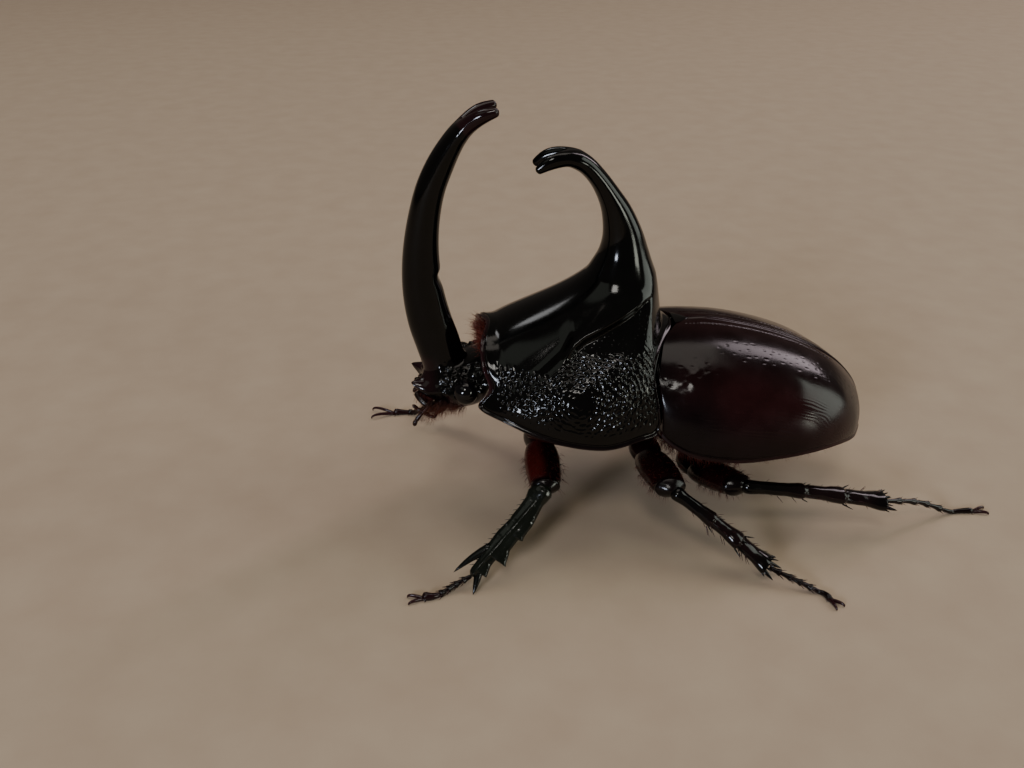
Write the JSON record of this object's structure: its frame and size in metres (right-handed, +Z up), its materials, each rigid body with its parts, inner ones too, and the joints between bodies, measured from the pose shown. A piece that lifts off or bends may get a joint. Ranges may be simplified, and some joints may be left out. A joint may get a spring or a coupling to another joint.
{
  "type": "rhinoceros beetle",
  "caption": "Life-size still model of a male rhinoceros beetle standing on its feet, with a long curved forked head horn and a hooked, forked horn on the thorax.",
  "frame": {"origin": "on the floor, under the middle of the whole beetle's box", "axes": "+Z up, the head faces -X, the beetle's left side is -Y"},
  "size_m": [0.0692, 0.0532, 0.044],
  "materials": {
    "black_chitin": "glossy black insect shell",
    "wine_chitin": "glossy dark wine-brown insect shell",
    "brown_chitin": "satin reddish-brown insect shell, with red-brown hair",
    "eye": "polished black eye"
  },
  "bodies": {
    "root": {"abdomen": "brown_chitin", "antenna_left": "brown_chitin", "antenna_right": "brown_chitin", "coxa_fore_left": "black_chitin", "coxa_fore_right": "black_chitin", "coxa_hind_left": "black_chitin", "coxa_hind_right": "black_chitin", "coxa_mid_left": "black_chitin", "coxa_mid_right": "black_chitin", "elytron_left": "wine_chitin", "elytron_right": "wine_chitin", "eye_left": "eye", "eye_right": "eye", "femur_fore_left": "wine_chitin", "femur_fore_right": "wine_chitin", "femur_hind_left": "wine_chitin", "femur_hind_right": "wine_chitin", "femur_mid_left": "wine_chitin", "femur_mid_right": "wine_chitin", "head": "black_chitin", "head_horn": "black_chitin", "labium": "brown_chitin", "mandible_left": "brown_chitin", "mandible_right": "brown_chitin", "metathorax": "wine_chitin", "palp_left": "brown_chitin", "palp_right": "brown_chitin", "pronotum": "black_chitin", "prosternum": "wine_chitin", "pygidium": "brown_chitin", "scutellum": "black_chitin", "tarsus_fore_left": "black_chitin", "tarsus_fore_right": "black_chitin", "tarsus_hind_left": "black_chitin", "tarsus_hind_right": "black_chitin", "tarsus_mid_left": "black_chitin", "tarsus_mid_right": "black_chitin", "thorax_horn": "black_chitin", "tibia_fore_left": "black_chitin", "tibia_fore_right": "black_chitin", "tibia_hind_left": "black_chitin", "tibia_hind_right": "black_chitin", "tibia_mid_left": "black_chitin", "tibia_mid_right": "black_chitin"}
  },
  "joints": []
}
